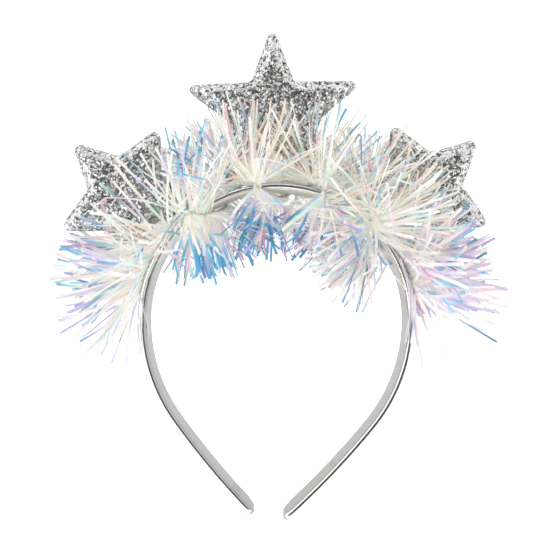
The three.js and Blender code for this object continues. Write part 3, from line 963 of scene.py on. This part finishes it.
def leg_strip(start, length, first, last, rng):
    """Route of a strip that leaves the garland near its end and lies along a leg, turning round its front
    edge from one angle to another."""
    points = [core_point(np.clip(start, WINDING[0][0], WINDING[-1][0]))]
    for share in np.linspace(0, 1, STRIP_STEPS):
        s = start + math.copysign(length, start) * (LEG_STRIP_FREE + (1 - LEG_STRIP_FREE) * share)
        across, up = polar(1.0, first + (last - first) * share)
        clear = LEG_CLEAR[0] + rng.uniform(0, LEG_CLEAR[1])
        points.append(beside_band(s, -BAND_THICKNESS / 2 + (BAND_THICKNESS / 2 + clear) * across,
                                  BAND_WIDTH / 2 - BAND_EDGE + (BAND_EDGE + clear) * up))
    return np.array(points)


def build_strips(core, pads, material):
    """Every strip of the garland, as one mesh of thin closed ribbons with a colour for each point."""
    rng = np.random.default_rng(STRIP_SEED)
    path, _, away, at = core
    strips = []
    for i in range(TUFT_COUNT):
        place, around = ((0.5 + i * step) % 1 for step in EVEN_STEPS)
        place -= END_DENSITY * math.sin(2 * math.pi * place)
        root = int(place * (len(path) - 1))
        distance = at[root]
        tuft = dict(place=place, distance=distance, spread=STRIP_SPREAD * (2 * around - 1),
                    inner=away[root, :2] @ band_frame(distance)[1] < INNER_TUFT,
                    lean=rng.normal(0, TUFT_LEAN), keen=rng.random(), seed=rng.random())
        size = rng.integers(*TUFT_SIZE) * (2 if RICH_ZONE[0] < distance < RICH_ZONE[1] else 1)
        for _ in range(size):
            grown = grow_strip(tuft, core, pads, rng)
            if grown is not None:
                route, tangent, star = grown
                inside = beyond_band(route[-1]) < -LINED
                wide = inside or abs(distance) > WIDE_ENDS
                strips.append((route, tangent, wide, strip_colours(tuft, inside, star, rng)))
    for start, length, first, last in LEG_STRIPS:
        tuft = dict(distance=start, keen=1.0, seed=0.5)
        route = leg_strip(start, length, first, last, rng)
        strips.append((route, np.array([0, 0, 1.0]), False, strip_colours(tuft, False, None, rng)))
    points, faces, colours = [], [], []
    count = 0
    for route, tangent, wide, strip_colour in strips:
        strip_points, strip_faces = ribbon(route, tangent, wide, rng)
        points.append(strip_points)
        faces += [tuple(count + j for j in face) for face in strip_faces]
        colours.append(np.repeat(strip_colour, 3, axis=0))
        count += len(strip_points)
    points = np.concatenate(points)
    points[:, 2] = np.maximum(points[:, 2], FLOOR_LEAST)
    piece = add_piece("tinsel_strips", points, faces, material, "film", False)
    paint(piece, "film", np.concatenate(colours))
    face_outwards(piece)
    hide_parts("tinsel_garland")


# Stage

CAMERA_OVER = (-1.42, 19.59)  # from the centre of the crown's arc
CAMERA_HEIGHT = 337.0  # over the band's front edge
CAMERA_ROLL = 1.79
CAMERA_ASIDE = 10.0  # to the left, with its view shifted back to the right
CAMERA_LENS = 50.0
CAMERA_SENSOR = 36.0
FLOOR_HALF = 3.0  # in metres
TENT_STOPS = [(0.0, (1, 1, 1)), (0.72, (1, 1, 1)), (0.84, (0.05, 0.05, 0.05))]  # from level to overhead
TENT_BRIGHT_SIDE = (-0.45, -0.9, 0.0)
TENT_STRENGTH = (1.1, 2.3)  # least and most


def build_floor():
    material, _, shader = principled("pale_floor")
    shader.inputs["Base Color"].default_value = (0.9, 0.9, 0.9, 1.0)
    shader.inputs["Roughness"].default_value = 0.9
    shader.inputs["Emission Color"].default_value = (1.0, 1.0, 1.0, 1.0)
    shader.inputs["Emission Strength"].default_value = 0.6
    mesh = bpy.data.meshes.new("floor")
    corners = [(x * FLOOR_HALF, y * FLOOR_HALF, 0) for x, y in ((-1, -1), (1, -1), (1, 1), (-1, 1))]
    mesh.from_pydata(corners, [], [(0, 1, 2, 3)])
    mesh.materials.append(material)
    floor = bpy.data.objects.new("floor", mesh)
    bpy.context.collection.objects.link(floor)


def build_light():
    """A white tent all round, dark straight overhead."""
    world = bpy.data.worlds.new("tent")
    world.use_nodes = True
    tree = world.node_tree
    background = tree.nodes["Background"]
    coordinates = tree.nodes.new("ShaderNodeTexCoord")
    split = tree.nodes.new("ShaderNodeSeparateXYZ")
    tree.links.new(coordinates.outputs["Generated"], split.inputs["Vector"])
    colour = ramp(tree, split.outputs["Z"], TENT_STOPS)
    tree.links.new(colour, background.inputs["Color"])
    facing = tree.nodes.new("ShaderNodeVectorMath")
    facing.operation = "DOT_PRODUCT"
    facing.inputs[1].default_value = TENT_BRIGHT_SIDE
    tree.links.new(coordinates.outputs["Generated"], facing.inputs[0])
    strength = tree.nodes.new("ShaderNodeMapRange")
    strength.inputs["From Min"].default_value = -1.0
    strength.inputs["To Min"].default_value = TENT_STRENGTH[0]
    strength.inputs["To Max"].default_value = TENT_STRENGTH[1]
    tree.links.new(facing.outputs["Value"], strength.inputs["Value"])
    tree.links.new(strength.outputs["Result"], background.inputs["Strength"])
    bpy.context.scene.world = world


def build_camera():
    data = bpy.data.cameras.new("camera")
    data.lens = CAMERA_LENS
    data.sensor_width = CAMERA_SENSOR
    data.clip_start = 0.01
    camera = bpy.data.objects.new("camera", data)
    data.shift_x = CAMERA_ASIDE / CAMERA_HEIGHT * CAMERA_LENS / CAMERA_SENSOR
    aside = CAMERA_ASIDE * polar(1.0, CAMERA_ROLL)
    over = ARC_CENTRE + (*(np.array(CAMERA_OVER) - aside), MIDDLE_Z + BAND_WIDTH / 2 + CAMERA_HEIGHT)
    camera.location = over * MM
    camera.rotation_euler = (0, 0, math.radians(CAMERA_ROLL))
    bpy.context.collection.objects.link(camera)
    bpy.context.scene.camera = camera


build_floor()
build_light()
build_camera()
build_band()
build_lining()

rng = np.random.default_rng(FLAKE_SEED)
cloth, flakes = glitter_cloth_material(), flake_material()
pads = [StarPad(star) for star in STARS]
for pad in pads:
    build_star_pad(pad, cloth)
    build_flakes(pad, flakes, rng)

felt = felt_material()
for star in STARS:
    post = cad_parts[f"star_post_{star['name']}"]
    for holder in post.material_slots:
        holder.material = felt

core = core_samples()
build_core(*core[:3], thread_material())
build_strips(core, pads, film_material())

scene = bpy.context.scene
scene.view_settings.view_transform = "Standard"
scene.cycles.transparent_max_bounces = 48
